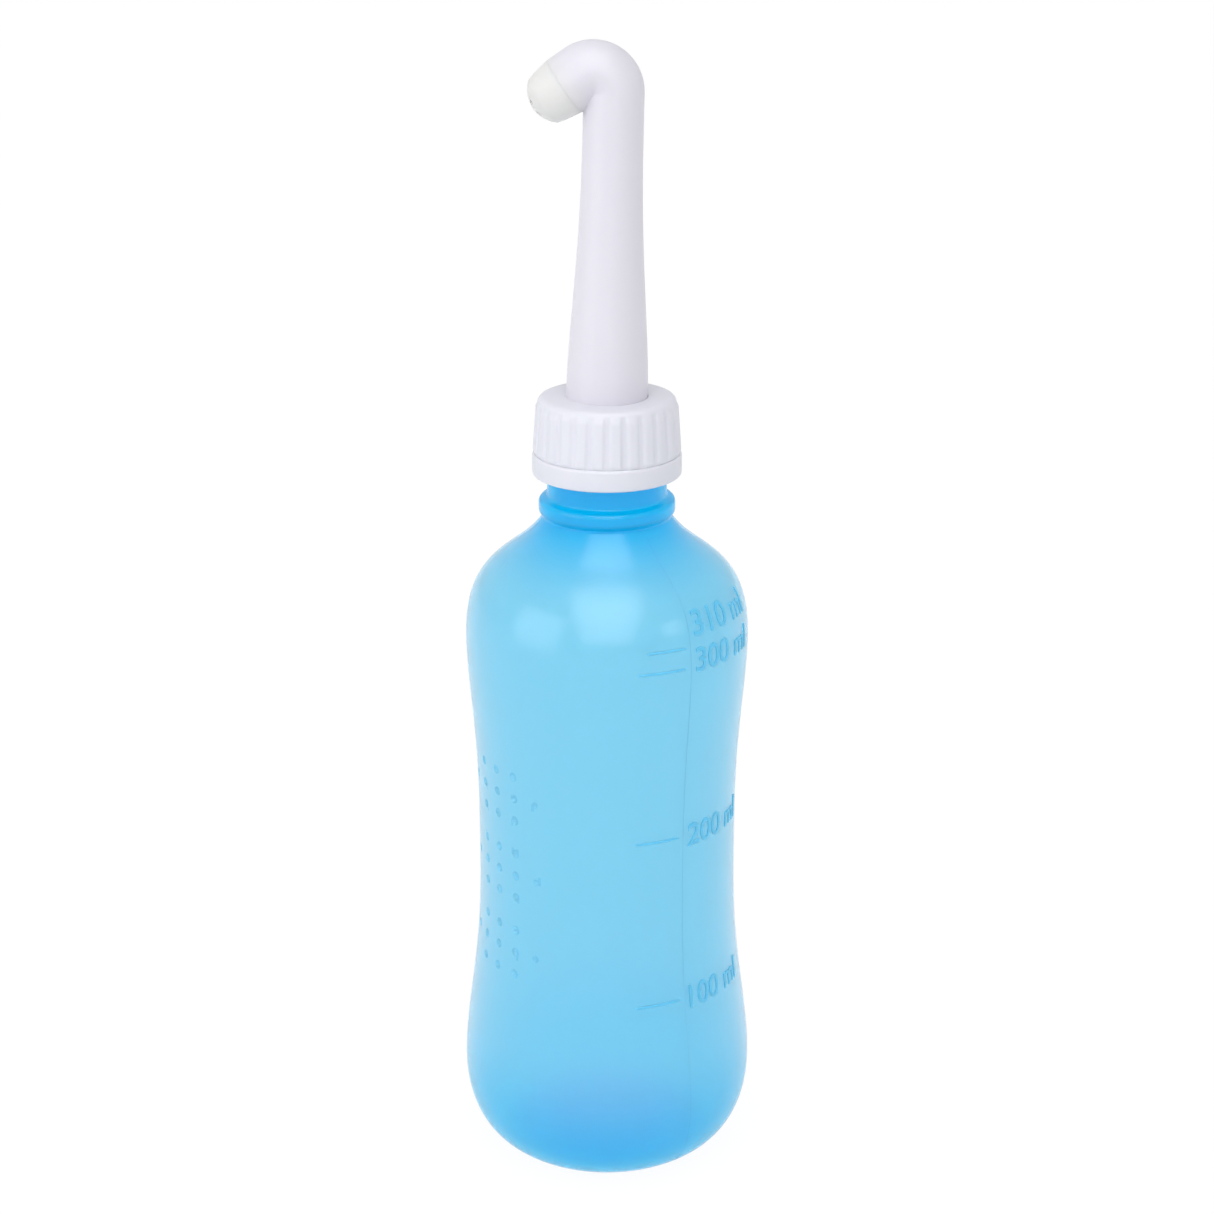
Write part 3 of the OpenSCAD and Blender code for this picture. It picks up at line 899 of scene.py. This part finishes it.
# %% Nozzle
STEM_TOP_R = 6.15
STEM_H = 62.4
STEM_LEAN = math.radians(1.3)
ELBOW_R = 4.2
OUTLET_DROP = math.radians(36.0)
WATER_WAY_R = 3.7
SPIGOT_R = 4.6
SPIGOT_L = 4.0
SEAT_R = 12.55
FLANGE_Z = ROOF_Z - 1.5
TIP_ROOT_R = 5.9
TIP_SEEN_R = 6.14
BLEND_BACK = 3.5
BLEND_L = 4.5
CORNER_GAP = 0.4
CREASE_R = 0.12
STEM_ROWS = 44
OUTLET_L = CORNER_GAP + (STEM_TOP_R - ELBOW_R + (TIP_ROOT_R - ELBOW_R) * math.sin(OUTLET_DROP)) \
    / math.cos(OUTLET_DROP)


def stem_place(point):
    """From the stem's own place, where Z is its axis, to the bottle's."""
    x, y, z = point
    return (x * math.cos(STEM_LEAN) + z * math.sin(STEM_LEAN), y,
            CAP_TOP - x * math.sin(STEM_LEAN) + z * math.cos(STEM_LEAN))


def outlet_place(point):
    """From the spout's own place, where Z is its axis, to the bottle's."""
    x, y, z = point
    turn = math.pi / 2 + OUTLET_DROP
    x += ELBOW_R
    return stem_place((x * math.cos(turn) - z * math.sin(turn) - ELBOW_R, y,
                       x * math.sin(turn) + z * math.cos(turn) + STEM_H))


def turned_at(place, outline, columns):
    """A turned shape set in another place."""
    verts, faces = turned(outline, columns)
    return [place(v) for v in verts], faces


def soft_max(a, b, blend):
    """The larger of two numbers, blended where they are nearly equal."""
    return (a + b + math.hypot(a - b, blend)) / 2


def tube_skin(stem, columns=96, bend_steps=36, spout=OUTLET_L, fillet=CREASE_R):
    """Rings of a stem that bends into a spout. stem lists (radius, height) from below.

    Each column of points runs up the stem, round an arc and along the spout. A column on the
    inside of the bend gets an arc no tighter than the fillet, pushed out along the mitre.
    """
    turn = math.pi / 2 + OUTLET_DROP
    radius = stem[-1][0]
    rings = []
    inside = [radius * -math.cos(2 * math.pi * k / columns) for k in range(columns)]
    rounds = [soft_max(ELBOW_R - d, fillet, fillet) for d in inside]
    starts = [STEM_H - (d + rho - ELBOW_R) * math.tan(turn / 2) for d, rho in zip(inside, rounds)]

    def ring(point_of):
        rings.append([point_of(k, 2 * math.pi * k / columns) for k in range(columns)])

    for r, z in stem:
        ring(lambda k, a: (r * math.cos(a), r * math.sin(a), min(z, starts[k])))
    for i in range(bend_steps + 1):
        t = turn * i / bend_steps
        ring(lambda k, a: (-inside[k] - rounds[k] * (1 - math.cos(t)), radius * math.sin(a),
                           starts[k] + rounds[k] * math.sin(t)))
    for s in (0.25, 0.5, 0.75, 1.0):
        def along(k, a):
            end = (-ELBOW_R + (ELBOW_R - inside[k]) * math.cos(turn) - spout * math.sin(turn),
                   radius * math.sin(a),
                   STEM_H + (ELBOW_R - inside[k]) * math.sin(turn) + spout * math.cos(turn))
            near = rings[len(stem) + bend_steps][k]
            return tuple(near[j] + (end[j] - near[j]) * s for j in range(3))
        ring(along)
    return [[stem_place(p) for p in row] for row in rings]


def skin_faces(count, columns, start=0):
    """Quads between a number of rings."""
    faces = []
    for i in range(count - 1):
        for k in range(columns):
            m = (k + 1) % columns
            faces.append((start + i * columns + k, start + i * columns + m,
                          start + (i + 1) * columns + m, start + (i + 1) * columns + k))
    return faces


def circle_ring(place, r, z, columns):
    """One ring of points round a place's Z axis."""
    return [place((r * math.cos(2 * math.pi * k / columns), r * math.sin(2 * math.pi * k / columns), z))
            for k in range(columns)]


def nozzle_rings(columns=96):
    """All rings of the nozzle, from the flange's bore edge up the outside and back down inside."""
    foot_bore_r = STEM_FOOT_R - 2.1
    slim = [(STEM_TOP_R + (STEM_FOOT_R - STEM_TOP_R) * flank(i / STEM_ROWS), STEM_H * i / STEM_ROWS)
            for i in range(STEM_ROWS + 1)]
    flat = [circle_ring(lambda p: p, r, z, columns) for r, z in rounded([
        (foot_bore_r, FLANGE_Z, 0.15), (SEAT_R, FLANGE_Z, 0.25), (SEAT_R, ROOF_Z, 0.25)], 3)]
    outside = tube_skin(slim, columns)
    spigot = [circle_ring(outlet_place, r, z, columns) for r, z in (
        (SPIGOT_R, OUTLET_L), (SPIGOT_R, OUTLET_L + SPIGOT_L - 0.3),
        (SPIGOT_R - 0.3, OUTLET_L + SPIGOT_L), (WATER_WAY_R, OUTLET_L + SPIGOT_L))]
    way = [(foot_bore_r + (WATER_WAY_R - foot_bore_r) * i / 8, STEM_H * i / 8) for i in range(9)]
    inside = tube_skin(way, columns, 18, OUTLET_L + SPIGOT_L - 0.2)[::-1]
    return flat + outside + spigot + inside


def blend_tip(piece):
    """Stores "along": 0 on the stem, rising to 1 over the last of the spout and the tip."""
    root = Vector(outlet_place((0, 0, OUTLET_L)))
    axis = Vector(outlet_place((0, 0, OUTLET_L + 1))) - root
    along = piece.data.attributes.new("along", "FLOAT", "POINT")
    for i, vertex in enumerate(piece.data.vertices):
        way = vertex.co / MM - root
        depth = way.dot(axis)
        on_spout = (way - axis * depth).length < STEM_TOP_R + 0.1
        along.data[i].value = min(max((depth + BLEND_BACK) / BLEND_L, 0.0), 1.0) if on_spout else 0.0


rings = nozzle_rings()
count = len(rings)
columns = len(rings[0])
faces = skin_faces(count, columns)
faces += [((count - 1) * columns + k, (count - 1) * columns + (k + 1) % columns, (k + 1) % columns, k)
          for k in range(columns)]
nozzle = add_piece("nozzle_body", [p for row in rings for p in row], faces, nozzle_plastic, 32)
blend_tip(nozzle)
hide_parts("nozzle_tube")
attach(nozzle, "nozzle")

# %% [markdown]
# ## The spray tip
# A soft cap plugs onto the spigot and carries on the spout's outline. Its domed end has a
# middle hole and a ring of six. It is turned like the rest and set in the spout's place, and
# the holes are cut with a Boolean modifier.

# %% Spray tip
TIP_L = 5.1
TIP_END_R = 5.2
DOME_RISE = 2.6
TIP_WALL = 1.3
TIP_CONE = [(0, 0), (0.9, 0.1), (1.8, 0.24), (2.8, 0.42), (3.8, 0.62)]
HOLE_R = 0.6
HOLES_ROUND = 6
HOLE_CIRCLE_R = TIP_END_R * 0.5
SOCKET_R = SPIGOT_R + 0.05


def tip_outline():
    """The tip's wall: from its socket's edge over the cone and dome, and back inside."""
    dome_r = (TIP_END_R ** 2 + DOME_RISE ** 2) / (2 * DOME_RISE)
    half = math.degrees(math.asin(TIP_END_R / dome_r))
    middle = (0, OUTLET_L + TIP_L + DOME_RISE - dome_r)
    outside = [(SOCKET_R, OUTLET_L)]
    outside += [(TIP_SEEN_R - taper, OUTLET_L + z) for z, taper in TIP_CONE]
    inner_edge = (WATER_WAY_R, OUTLET_L + SPIGOT_L + 0.55)
    return (outside + arc(middle, dome_r, 90 - half * 0.97, 90, 16)
            + arc(middle, dome_r - TIP_WALL, 90, 90 - half * 0.75, 10)
            + [inner_edge, (SOCKET_R, OUTLET_L + SPIGOT_L + 0.05)])


def hole(turn, circle_r):
    """A pin through the tip's dome, to cut a spray hole."""
    ring = [(0, OUTLET_L + 5), (HOLE_R, OUTLET_L + 5), (HOLE_R, OUTLET_L + 12), (0, OUTLET_L + 12)]
    verts, faces = turned(ring, 24)
    x, y = circle_r * math.cos(turn), circle_r * math.sin(turn)
    return [outlet_place((vx + x, vy + y, vz)) for vx, vy, vz in verts], faces


def cut_out(piece, pins):
    """Cuts solids out of a piece, one after the other."""
    for i, pin in enumerate(pins):
        cutter = add_piece("cutter_%d" % i, *pin, piece.data.materials[0])
        step = piece.modifiers.new("step", "BOOLEAN")
        step.operation = "DIFFERENCE"
        step.solver = "EXACT"
        step.object = cutter
        mesh_from_nodes(piece)
        bpy.data.objects.remove(cutter)


tip = add_piece("spray_nose", *turned_at(outlet_place, tip_outline(), 72), tip_plastic)
ring_turns = [math.radians(360 / HOLES_ROUND * i) for i in range(HOLES_ROUND)]
cut_out(tip, [hole(0, 0)] + [hole(turn, HOLE_CIRCLE_R) for turn in ring_turns])
tip.data.shade_smooth()
tip.data.set_sharp_from_angle(angle=math.radians(35))
blend_tip(tip)
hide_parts("spray_tip")
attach(tip, "nozzle")

# %% [markdown]
# ## The washer
# The silicone ring between the neck and the nozzle's flange is right as the frame has it, so
# it only gets its finish.

# %% Washer
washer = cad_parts["sealing_washer"]
for slot in washer.material_slots:
    slot.material = silicone

# %% [markdown]
# ## Floor, backdrop and light
# The set is a plain white sweep. The world and the floor show as white to the camera, and the
# floor still takes a faint shadow. The world is a little brighter on the left, so the round
# shapes turn. One soft box hangs in front and above, and two low ones stand at the sides. A
# tall card in front shows only in the gloss: it makes the soft patch on the shoulder.

# %% Floor
FLOOR_SIZE = 6.0
FLOOR_GLOW = 1.03
GLOW_SHARE = 0.92

floor_material, tree, output = new_material("white_floor")
path = add_node(tree, "ShaderNodeLightPath")
paper = add_node(tree, "ShaderNodeBsdfDiffuse", inputs={"Color": colour("#FAFAFA")})
glow = add_node(tree, "ShaderNodeEmission", inputs={"Color": (1, 1, 1, 1), "Strength": FLOOR_GLOW})
seen = add_node(tree, "ShaderNodeMath", {"operation": "MAXIMUM"},
                {0: path.outputs["Is Camera Ray"], 1: path.outputs["Is Glossy Ray"]})
seen = add_node(tree, "ShaderNodeMath", {"operation": "MAXIMUM"},
                {0: seen.outputs["Value"], 1: path.outputs["Is Transmission Ray"]})
part = add_node(tree, "ShaderNodeMath", {"operation": "MULTIPLY"},
                {0: seen.outputs["Value"], 1: GLOW_SHARE})
blend = add_node(tree, "ShaderNodeMixShader", inputs={
    0: part.outputs["Value"], 1: paper.outputs["BSDF"], 2: glow.outputs["Emission"]})
tree.links.new(blend.outputs["Shader"], output.inputs["Surface"])

floor_mesh = bpy.data.meshes.new("floor")
half = FLOOR_SIZE / 2
floor_mesh.from_pydata([(-half, -half, 0), (half, -half, 0), (half, half, 0), (-half, half, 0)],
                       [], [(0, 1, 2, 3)])
floor_mesh.materials.append(floor_material)
floor = bpy.data.objects.new("floor", floor_mesh)
bpy.context.scene.collection.objects.link(floor)

# %% [markdown]
# ## World
# The camera and the light that comes through the plastic see pure white. All other rays see a
# dimmer room, so the pale plastics keep their shape.

# %% World
AMBIENT = 0.68
LEFT_LEVEL = 1.1
RIGHT_LEVEL = 0.93

world = bpy.data.worlds.new("white_room")
bpy.context.scene.world = world
world.use_nodes = True
tree = world.node_tree
tree.nodes.clear()
path = add_node(tree, "ShaderNodeLightPath")
straight = add_node(tree, "ShaderNodeMath", {"operation": "MAXIMUM"},
                    {0: path.outputs["Is Camera Ray"], 1: path.outputs["Is Transmission Ray"]})
strength = add_node(tree, "ShaderNodeMapRange", inputs={
    "Value": straight.outputs["Value"], "To Min": AMBIENT, "To Max": 1.0})
way = add_node(tree, "ShaderNodeTexCoord")
across = add_node(tree, "ShaderNodeSeparateXYZ", inputs={"Vector": way.outputs["Generated"]})
side = add_node(tree, "ShaderNodeMapRange", inputs={
    "Value": across.outputs["X"], "From Min": -1.0, "From Max": 1.0,
    "To Min": LEFT_LEVEL, "To Max": RIGHT_LEVEL})
turned_down = add_node(tree, "ShaderNodeMix", {"data_type": "FLOAT"}, {
    0: straight.outputs["Value"], 2: side.outputs["Result"], 3: 1.0})
level = add_node(tree, "ShaderNodeMath", {"operation": "MULTIPLY"},
                 {0: strength.outputs["Result"], 1: turned_down.outputs[0]})
sky = add_node(tree, "ShaderNodeBackground", inputs={
    "Color": (1, 1, 1, 1), "Strength": level.outputs["Value"]})
add_node(tree, "ShaderNodeOutputWorld", inputs={"Surface": sky.outputs["Background"]})

# %% [markdown]
# ## Lamps
# Each lamp is an area light that faces the bottle. The one above is kept out of the gloss, and
# the card is kept in it alone, so light and highlights can be set apart.


# %% Soft boxes
def soft_box(name, place, target, width, height, power, gloss_only=False):
    """A rectangular lamp that faces a target. With gloss_only, only gloss shows it."""
    lamp = bpy.data.lights.new(name, "AREA")
    lamp.shape = "RECTANGLE"
    lamp.size = width
    lamp.size_y = height
    lamp.energy = power
    holder = bpy.data.objects.new(name, lamp)
    holder.location = place
    holder.rotation_euler = (Vector(target) - Vector(place)).to_track_quat("-Z", "Y").to_euler()
    holder.visible_diffuse = not gloss_only
    holder.visible_transmission = not gloss_only
    bpy.context.scene.collection.objects.link(holder)
    return holder


front_top = soft_box("front_top", (0.0, -0.58, 1.05), (0, 0, 0.13), 0.62, 0.9, 4.1)
front_top.visible_glossy = False
soft_box("front_card", (0.0, -0.85, 1.05), (0, 0, 0.13), 1.1, 2.1, 13.0, gloss_only=True)
soft_box("left_low", (-0.86, -0.50, 0.42), (0, 0, 0.12), 0.75, 0.75, 2.3)
soft_box("right_low", (0.82, -0.57, 0.42), (0, 0, 0.12), 0.3, 0.3, 0.42)

# %% Finish
bpy.context.scene.view_settings.view_transform = "Standard"
